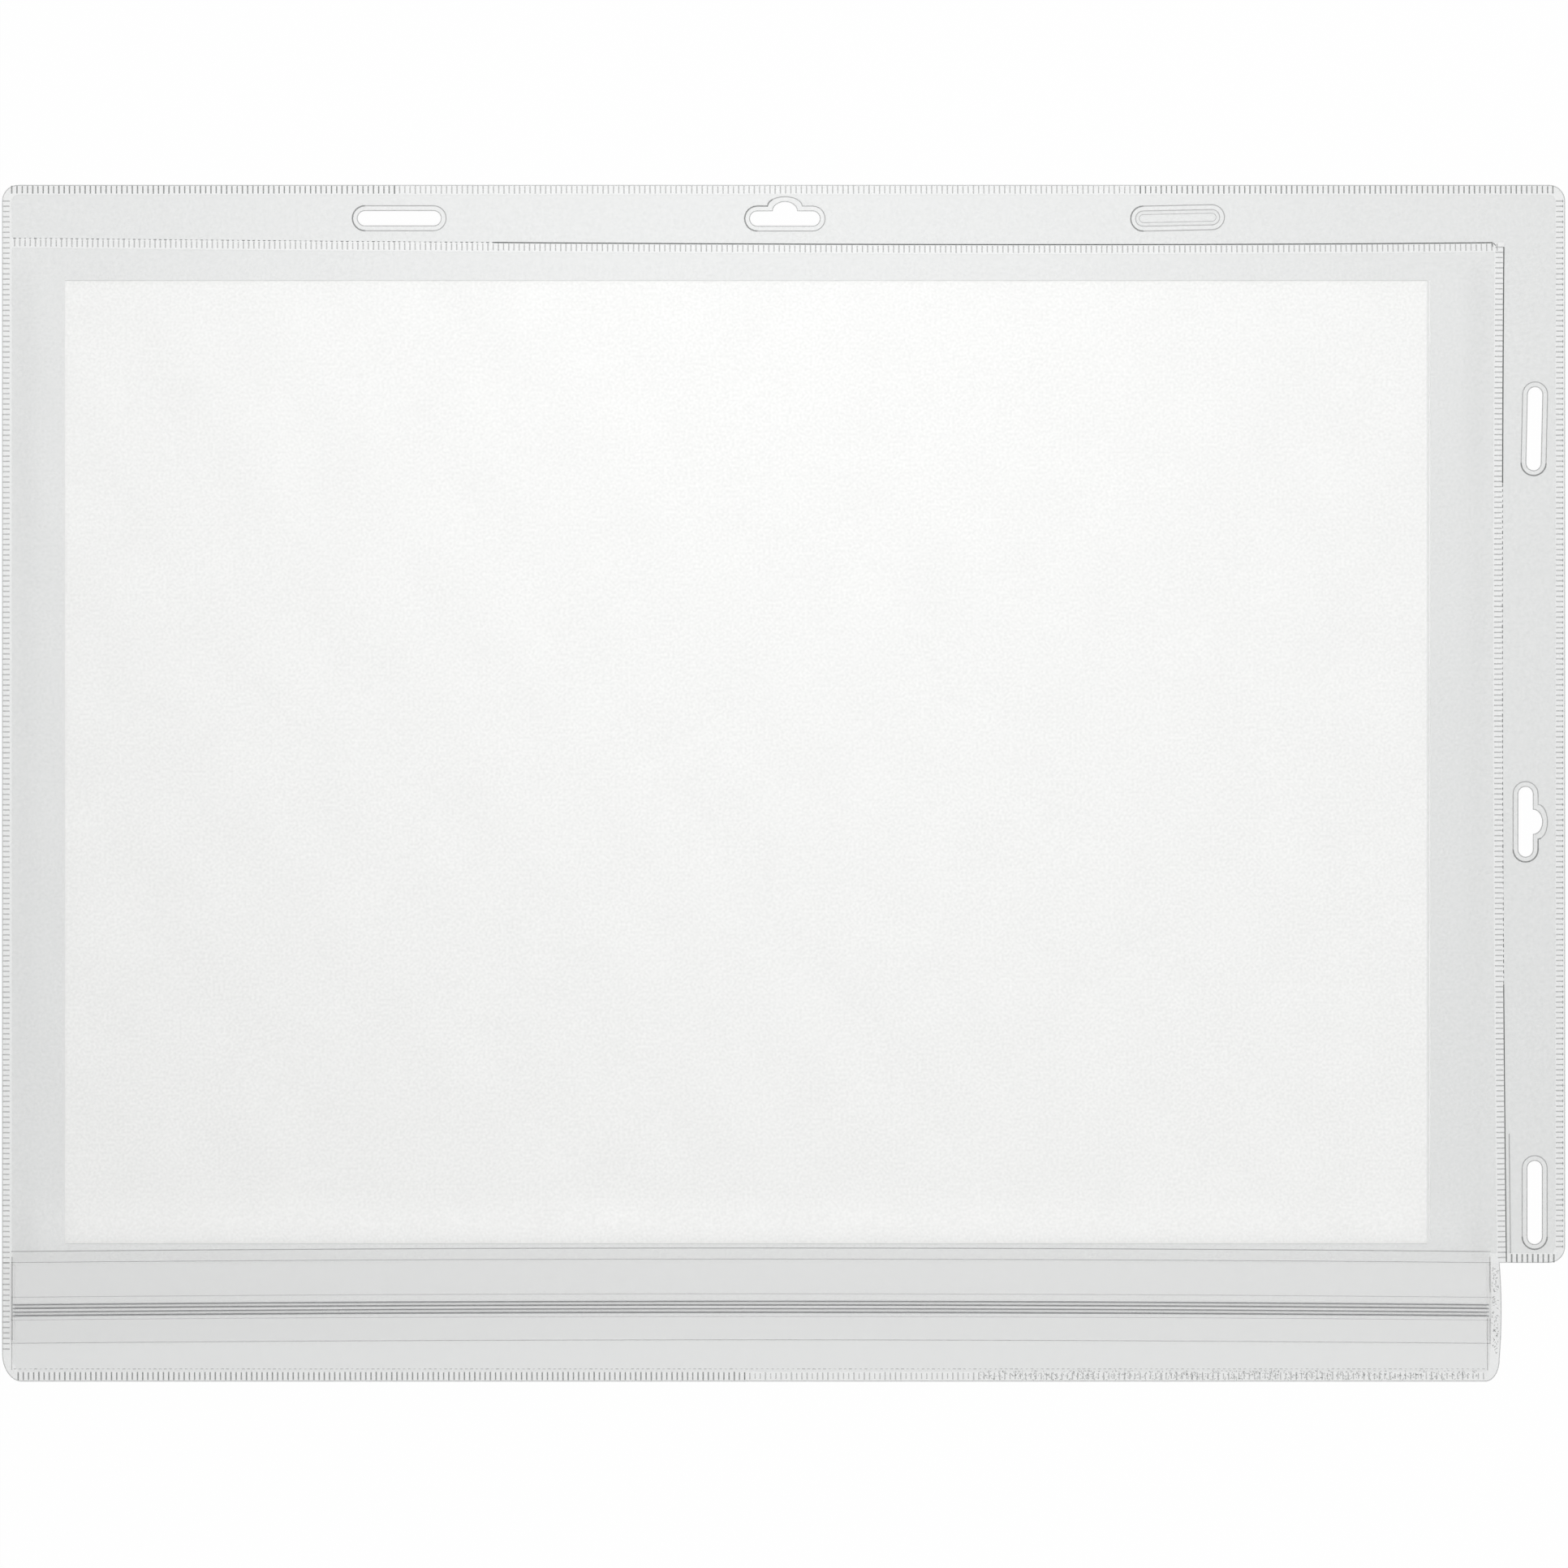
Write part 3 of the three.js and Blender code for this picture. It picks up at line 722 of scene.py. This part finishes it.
def close_tree(tree, geometry, given):
    """Ends a tree with Realize Instances and Set Material."""
    real = node(tree, "GeometryNodeRealizeInstances", inputs={"Geometry": geometry})
    finish = node(
        tree,
        "GeometryNodeSetMaterial",
        inputs={"Geometry": real.outputs[0], "Material": given["Material"]},
    )
    node(tree, "NodeGroupOutput", inputs={0: finish.outputs[0]})


# A round bead swept along the path.
bead_tree, given = new_tree("bead", ("Thickness",))
line = node(bead_tree, "GeometryNodeMeshToCurve", inputs={"Mesh": given["Geometry"]})
radius = node(bead_tree, "ShaderNodeMath", {"operation": "MULTIPLY"}, {0: given["Thickness"], 1: 0.5})
ring = node(
    bead_tree,
    "GeometryNodeCurvePrimitiveCircle",
    inputs={"Resolution": 8, "Radius": radius.outputs[0]},
)
swept = node(
    bead_tree,
    "GeometryNodeCurveToMesh",
    inputs={"Curve": line.outputs[0], "Profile Curve": ring.outputs[0], "Fill Caps": True},
)
close_tree(bead_tree, swept.outputs[0], given)


def strip_line(y, level, x0=window_left, x1=zip_right):
    """A path along the strip that bows with it."""
    return [(x, y + bow_at(x), level) for x in np.linspace(x0, x1, CURVE_STEPS)], False


# The same extruded PVC, drawn greyer because its steep sides hardly let the table show through.
hook_vinyl = clear_vinyl("extruded_pvc_steep_sides", HOOK_COLOUR, HOOK_HAZE, 0.35)
for i, (offset, thickness) in enumerate(zip(HOOK_OFFSETS, HOOK_THICKNESS)):
    wall = finished(
        f"profile_wall_{i + 1}",
        strip_line(PROFILE_MIDDLE + offset, HOOK_LEVEL, window_left + HOOK_END, zip_right - HOOK_END),
        bead_tree,
        {"Thickness": thickness},
        hook_vinyl,
    )

# The welds: an engraved electrode presses fine cross ribs into the fused films, 1.6 mm apart, all
# round the pocket and its flange and along the line between the two.
RIB_PITCH = 1.6 * MM
RIB_WIDTH = 0.44 * MM
RIB_HEIGHT = 0.05 * MM
RIB_LENGTH = 2.5 * MM
RIB_INSET = 1.5 * MM
RIB_LEVEL = 0.43 * MM
RIB_COLOUR = "5A5F5D"
RIB_HAZE = 0.48
FAINT_RIB_HAZE = 0.24
RIB_ROUGHNESS = 0.6
RIB_UNEVENNESS = 0.12
LEFT_INSET = 1.3 * MM
RIGHT_INSET = 1.7 * MM
BOTTOM_INSET = 1.7 * MM
END_INSET = 1.4 * MM
SIDE_RIB_LENGTH = 2.2 * MM
LEFT_TAPE_LEVEL = 0.36 * MM
BOTTOM_LEVEL = 0.69 * MM
CRISP_BOTTOM_END = left + 229 * MM

# A short rounded rib across the path at every step along it, each a little different.
rib_tree, given = new_tree("weld_ribs", ("Pitch", "Length", "Width", "Height", "Unevenness"))
line = node(rib_tree, "GeometryNodeMeshToCurve", inputs={"Mesh": given["Geometry"]})
steps = node(
    rib_tree,
    "GeometryNodeResampleCurve",
    {"mode": "LENGTH"},
    {"Curve": line.outputs[0], "Length": given["Pitch"]},
)
drum = node(
    rib_tree,
    "GeometryNodeMeshCylinder",
    inputs={"Vertices": 8, "Radius": 0.5, "Depth": 1.0},
)
lying = node(
    rib_tree,
    "GeometryNodeTransform",
    inputs={"Geometry": drum.outputs["Mesh"], "Rotation": (0, pi / 2, 0)},
)
tangent = node(rib_tree, "GeometryNodeInputTangent")
turned = node(
    rib_tree,
    "FunctionNodeAlignRotationToVector",
    {"axis": "Y", "pivot_axis": "Z"},
    {"Vector": tangent.outputs[0]},
)
spread = node(rib_tree, "ShaderNodeMath", {"operation": "SUBTRACT"}, {0: 1.0, 1: given["Unevenness"]})
chance = node(
    rib_tree,
    "FunctionNodeRandomValue",
    {"data_type": "FLOAT"},
    {2: spread.outputs[0], 3: 1.0, "Seed": 7},
)
sizes = node(
    rib_tree,
    "ShaderNodeCombineXYZ",
    inputs={"X": given["Length"], "Y": given["Width"], "Z": given["Height"]},
)
uneven = node(
    rib_tree,
    "ShaderNodeVectorMath",
    {"operation": "SCALE"},
    {0: sizes.outputs[0], "Scale": chance.outputs[1]},
)
ribs = node(
    rib_tree,
    "GeometryNodeInstanceOnPoints",
    inputs={
        "Points": steps.outputs[0],
        "Instance": lying.outputs[0],
        "Rotation": turned.outputs[0],
        "Scale": uneven.outputs[0],
    },
)
close_tree(rib_tree, ribs.outputs[0], given)

# Fused PVC between two steel faces: the ribs' flanks turn the light aside and look grey.
crisp_rib = clear_vinyl("pressed_weld_rib", RIB_COLOUR, RIB_HAZE, RIB_ROUGHNESS)
faint_rib = clear_vinyl("shallow_weld_rib", RIB_COLOUR, FAINT_RIB_HAZE, RIB_ROUGHNESS)


def weld_run(
    name,
    points,
    material,
    length=RIB_LENGTH,
    width=RIB_WIDTH,
    level=RIB_LEVEL,
    uneven=RIB_UNEVENNESS,
):
    """Cross ribs along a run of the weld."""
    run = finished(
        name,
        ([(x, y, level) for x, y in points], False),
        rib_tree,
        {
            "Pitch": RIB_PITCH,
            "Length": length,
            "Width": width,
            "Height": RIB_HEIGHT,
            "Unevenness": uneven,
        },
        material,
    )


corner = CORNER_RADIUS
# Along the top edge the electrode pressed hard near both corners and lightly between them.
TOP_RUNS = (
    ("weld_top_left", left + 3 * MM, -120 * MM, crisp_rib),
    ("weld_top_middle", -120 * MM, 110 * MM, faint_rib),
    ("weld_top_right", 110 * MM, right - 3.8 * MM, crisp_rib),
)
for name, start_x, end_x, rib in TOP_RUNS:
    weld_run(name, [(start_x, top - RIB_INSET), (end_x, top - RIB_INSET)], rib)
left_x = left + LEFT_INSET
right_x = right - RIGHT_INSET
end_y = flange_bottom + END_INSET
bottom_y = bottom + BOTTOM_INSET
weld_run(
    "weld_left",
    [(left_x, top - corner), (left_x, flange_bottom)],
    faint_rib,
    SIDE_RIB_LENGTH,
)
weld_run(
    "weld_left_lower",
    [(left_x, flange_bottom), (left_x, bottom + 10 * MM)],
    faint_rib,
    SIDE_RIB_LENGTH,
    level=LEFT_TAPE_LEVEL,
)
weld_run(
    "weld_right",
    [(right_x, top - corner), (right_x, flange_bottom + corner)],
    faint_rib,
    2.4 * MM,
)
weld_run(
    "weld_flange_end",
    [(right_seam + 2.7 * MM, end_y), (right - corner + 1.5 * MM, end_y)],
    crisp_rib,
    2.7 * MM,
    0.5 * MM,
    uneven=0.05,
)
weld_run(
    "weld_bottom",
    [(left + 5 * MM, bottom_y), (CRISP_BOTTOM_END, bottom_y)],
    crisp_rib,
    2.6 * MM,
    level=BOTTOM_LEVEL,
)
weld_run(
    "weld_bottom_right",
    [(CRISP_BOTTOM_END, bottom_y), (pocket_right - 5 * MM, bottom_y)],
    faint_rib,
    2.4 * MM,
    level=BOTTOM_LEVEL,
    uneven=0.3,
)
band = seam_band(-SEAM_WIDTH / 2, FINE_STEPS)
upper_line = [p for p in band[:FINE_STEPS] if left + 3 * MM < p[0]]
side_line = [p for p in band[FINE_STEPS:2 * FINE_STEPS] if flange_bottom + 1 * MM < p[1]]
weld_run("weld_pocket_top", upper_line, faint_rib, 2.3 * MM)
weld_run("weld_pocket_side", side_line, faint_rib, 2.5 * MM)

# The pressed edges of the welds: where the electrode's rim ends, it leaves a sharp step, and the step's
# shade is painted as a thin dark line, whole where it pressed hard and broken into dashes where it
# pressed lightly.
LINE_THICKNESS = 0.36 * MM
LINE_LEVEL = 0.47 * MM
LINE_COLOUR = "454A48"
LINE_HAZE = 0.72
FAINT_LINE_HAZE = 0.24
DASH_THICKNESS = 0.26 * MM
DASH_UNEVENNESS = 0.4
SOLID_FROM = -90 * MM
UPPER_STRETCH = 92 * MM
LOWER_STRETCH = -62 * MM
SECOND_LINE = (-145 * MM, -108 * MM)
SECOND_LINE_SHIFT = 1.3 * MM
CUT_EDGE_INSET = 0.14 * MM

# Grey lines of painted shade: a dark one for the sharp weld steps, and a faint one for shallow steps,
# cut edges, the slots' rims and the tapes' ends.
step_shade = clear_vinyl("painted_shade_at_weld_step", LINE_COLOUR, LINE_HAZE, RIB_ROUGHNESS)
faint_edge_shade = clear_vinyl("faint_painted_shade_at_edge", LINE_COLOUR, FAINT_LINE_HAZE, RIB_ROUGHNESS)


def seam_line(
    name,
    points,
    material,
    thickness=LINE_THICKNESS,
    level=LINE_LEVEL,
    closed=False,
):
    """A thin line of painted shade along an edge, or of painted highlight along a fold."""
    placed = [(p[0], p[1], level) for p in points]
    piece = finished(name, (placed, closed), bead_tree, {"Thickness": thickness}, material)


def dashes(name, points, material, length=0.9 * MM, level=LINE_LEVEL):
    """A broken line of painted shade along a weld's edge."""
    weld_run(name, points, material, DASH_THICKNESS, length, level, DASH_UNEVENNESS)


edge_band = seam_band(-0.1 * MM, FINE_STEPS)
top_edge = edge_band[:FINE_STEPS - 4]
side_edge = [p for p in edge_band[FINE_STEPS + 2:2 * FINE_STEPS] if p[1] > flange_bottom + 0.3 * MM]
seam_line("seam_edge_top", [p for p in top_edge if p[0] > SOLID_FROM], step_shade)
dashes(
    "seam_edge_top_dashes",
    [p for p in top_edge if left + 3 * MM < p[0] <= SOLID_FROM + 4 * MM],
    step_shade,
)
seam_line("seam_edge_side_upper", [p for p in side_edge if p[1] > UPPER_STRETCH], step_shade)
dashes(
    "seam_edge_side_dashes",
    [p for p in side_edge if LOWER_STRETCH < p[1] < UPPER_STRETCH],
    step_shade,
    1.1 * MM,
)
seam_line(
    "seam_edge_side_lower",
    [p for p in side_edge if p[1] < LOWER_STRETCH],
    step_shade,
    0.32 * MM,
)
seam_line(
    "seam_edge_side_second",
    [(p[0] + SECOND_LINE_SHIFT, p[1]) for p in side_edge if SECOND_LINE[0] < p[1] < SECOND_LINE[1]],
    faint_edge_shade,
)
# The two weld rules end apart at the corner: the top one steps down at its end, the side one starts
# below it, and a short slanting mark lies between them.
corner_x, corner_y = top_edge[-1]
seam_line(
    "seam_corner_step",
    [(corner_x, corner_y), (corner_x + 0.1 * MM, corner_y - 1.3 * MM)],
    step_shade,
    0.26 * MM,
)
seam_line(
    "seam_corner_mark",
    [(corner_x + 0.3 * MM, corner_y - 0.1 * MM), (corner_x + 1.1 * MM, corner_y - 0.9 * MM)],
    step_shade,
    0.26 * MM,
)
seam_line("cut_edge", outline(CUT_EDGE_INSET), faint_edge_shade, 0.26 * MM, 0.3 * MM, True)
dashes(
    "right_edge_dashes",
    [(right - 0.75 * MM, top - corner), (right - 0.75 * MM, flange_bottom + corner)],
    faint_edge_shade,
    1.0 * MM,
)
dashes(
    "bottom_edge_dashes",
    [(left + 4 * MM, bottom + 3.9 * MM), (pocket_right - 5 * MM, bottom + 3.9 * MM)],
    faint_edge_shade,
    1.0 * MM,
    level=0.76 * MM,
)

# The rims of the slots: the punch and a ring-shaped weld leave a raised bead round each opening and
# round each ring, grey with painted shade, and on the ring's lower left side a heavier line adds
# painted shade on the side turned from the light.
RIM_LEVEL = 0.44 * MM
RIM_GROWTH = 0.12 * MM
SHADED_SIDE_ANGLE = -2.5
SHADED_SIDE_REACH = 1.75


def ring_side(slot, grow, middle_angle, reach):
    """The part of a slot's ring that faces a given direction, as an open path."""
    points = slot_outline(slot, grow)
    cx, cy = slot[0]
    facing = [cos(np.arctan2(y - cy, x - cx) - middle_angle) > cos(reach) for x, y in points]
    start = next(i for i in range(len(points)) if facing[i] and not facing[i - 1])
    turned_points = points[start:] + points[:start]
    turned_facing = facing[start:] + facing[:start]
    return [p for p, f in zip(turned_points, turned_facing) if f]


def ring_line(name, path, thickness, closed=True):
    """One raised bead of a slot's rim or ring, grey with painted shade."""
    seam_line(name, path, faint_edge_shade, thickness, RIM_LEVEL, closed)


for i, slot in enumerate(SLOTS):
    ring_line(f"slot_rim_{i + 1}", slot_outline(slot, RIM_GROWTH), 0.3 * MM)
    ring_line(f"slot_ring_{i + 1}", slot_outline(slot, RING_WIDTH), 0.34 * MM)
    shaded_side = ring_side(slot, RING_WIDTH, SHADED_SIDE_ANGLE, SHADED_SIDE_REACH)
    ring_line(f"slot_ring_heavy_{i + 1}", shaded_side, 0.5 * MM, False)
# The third slot's slug was never pushed out, so its cut shows as a thin closed line of painted shade.
slug = slot_outline(SLOTS[2], -2 * SLUG_CLEARANCE)
seam_line("slot_slug_edge", slug, faint_edge_shade, 0.22 * MM, 0.46 * MM, True)

# The edges of the strip, drawn as thin grey lines of painted shade: the front tape's sealed upper edge,
# the seam below it, its free lip and the crushed ends of both tapes in the side welds.
slight_edge_shade = clear_vinyl("slight_painted_shade_in_extruded_pvc", LINE_COLOUR, 0.1, RIB_ROUGHNESS)

# Lines along the strip: each one's place, material, thickness and height.
STRIP_LINES = (
    ("tape_upper_edge", tape_top, faint_edge_shade, 0.3 * MM, 2.27 * MM),
    ("tape_seam_edge", flange_bottom + 0.2 * MM, faint_edge_shade, 0.2 * MM, 2.33 * MM),
    ("tape_lip_edge", flange_bottom - 24.7 * MM, faint_edge_shade, 0.22 * MM, 2.2 * MM),
    ("profile_upper_shade", PROFILE_MIDDLE + 4.1 * MM, slight_edge_shade, 0.3 * MM, 2.33 * MM),
    ("profile_lower_shade", PROFILE_MIDDLE - 2.9 * MM, slight_edge_shade, 0.24 * MM, 2.3 * MM),
)
for name, y, material, thickness, level in STRIP_LINES:
    seam_line(name, strip_line(y, 0)[0], material, thickness, level)

# Lines across its ends: each one's points, in millimetres from the side weld and from the pocket's
# middle, its thickness and its height.
END_LINES = (
    ("tape_left_end", window_left, ((0.2, -146), (0.2, -158), (0.2, -172)), 0.34, 1.2),
    ("tape_left_end_lower", window_left, ((0, -172), (0, -181)), 0.24, 0.5),
    ("tape_right_end", zip_right, ((-0.1, -146), (-0.1, -153), (0, -157)), 0.34, 1.2),
    ("tape_right_end_lower", zip_right, ((-0.8, -165), (-0.8, -181)), 0.26, 0.9),
    ("tape_right_end_outer", zip_right, ((0, -165), (0, -172.6)), 0.3, 0.9),
)
for name, end_x, points, thickness, level in END_LINES:
    path = [(end_x + x * MM, y * MM) for x, y in points]
    seam_line(name, path, faint_edge_shade, thickness * MM, level * MM)

# The crinkled stretch of weld at the lower right, where the strip's crushed end and the electrode's
# ribs crossed and the film puckered into small creases that lie all ways.
CREASE_DENSITY = 1.6e6
CREASE_LENGTH = 0.6 * MM
CREASE_WIDTH = 0.24 * MM
CREASE_HEIGHT = 0.05 * MM

crease_tree, given = new_tree("creases", ("Density", "Length", "Width", "Height"))
spots = node(
    crease_tree,
    "GeometryNodeDistributePointsOnFaces",
    inputs={"Mesh": given["Geometry"], "Density": given["Density"], "Seed": 11},
)
drum = node(
    crease_tree,
    "GeometryNodeMeshCylinder",
    inputs={"Vertices": 6, "Radius": 0.5, "Depth": 1.0},
)
lying = node(
    crease_tree,
    "GeometryNodeTransform",
    inputs={"Geometry": drum.outputs["Mesh"], "Rotation": (0, pi / 2, 0)},
)
spin = node(
    crease_tree,
    "FunctionNodeRandomValue",
    {"data_type": "FLOAT_VECTOR"},
    {"Min": (0, 0, 0), "Max": (0, 0, pi), "Seed": 12},
)
sizes = node(
    crease_tree,
    "ShaderNodeCombineXYZ",
    inputs={"X": given["Length"], "Y": given["Width"], "Z": given["Height"]},
)
creases = node(
    crease_tree,
    "GeometryNodeInstanceOnPoints",
    inputs={
        "Points": spots.outputs["Points"],
        "Instance": lying.outputs[0],
        "Rotation": spin.outputs["Value"],
        "Scale": sizes.outputs[0],
    },
)
close_tree(crease_tree, creases.outputs[0], given)


def crinkle(name, low_corner, high_corner, level):
    """Small creases scattered over a flat rectangular patch of weld."""
    (x0, y0), (x1, y1) = low_corner, high_corner
    mesh = bpy.data.meshes.new(name + "_patch")
    corners = [(x0, y0, level), (x1, y0, level), (x1, y1, level), (x0, y1, level)]
    mesh.from_pydata(corners, [], [(0, 1, 2, 3)])
    piece = grown(
        name,
        mesh,
        crease_tree,
        {
            "Density": CREASE_DENSITY,
            "Length": CREASE_LENGTH,
            "Width": CREASE_WIDTH,
            "Height": CREASE_HEIGHT,
        },
        faint_rib,
    )


crinkle(
    "crinkle_bottom",
    (60 * MM, bottom + 0.6 * MM),
    (214 * MM, bottom + 3.4 * MM),
    BOTTOM_LEVEL,
)
crinkle("crinkle_side", (218.4 * MM, -176 * MM), (220.4 * MM, -149 * MM), 0.42 * MM)

# The edges of the sheet: its top and bottom edges throw a thin shade, painted as grey lines, and on the
# right the film comes down to the back film about a millimetre outside it, where a white line along the
# fold is a painted highlight.
SHEET_LEFT = -221.6 * MM
SHEET_RIGHT = 198.4 * MM
SHEET_BOTTOM = -142 * MM
SHEET_TOP = 155 * MM
FOLD_GAP = 0.8 * MM
FOLD_LOW_END = -140.6 * MM
sheet_shade = clear_vinyl("shade_at_paper_edge", "6A6E6C", 0.16, RIB_ROUGHNESS)
fold_highlight = clear_vinyl("painted_highlight_at_film_fold", "FFFFFF", 0.75, RIB_ROUGHNESS)
for name, y in (("sheet_top_shade", SHEET_TOP), ("sheet_bottom_shade", SHEET_BOTTOM)):
    seam_line(name, [(SHEET_LEFT, y), (SHEET_RIGHT, y)], sheet_shade, 0.24 * MM, 0.45 * MM)
fold_x = SHEET_RIGHT + FOLD_GAP
seam_line(
    "film_fold_highlight_right",
    [(fold_x, SHEET_TOP), (fold_x, FOLD_LOW_END)],
    fold_highlight,
    0.5 * MM,
    0.4 * MM,
)
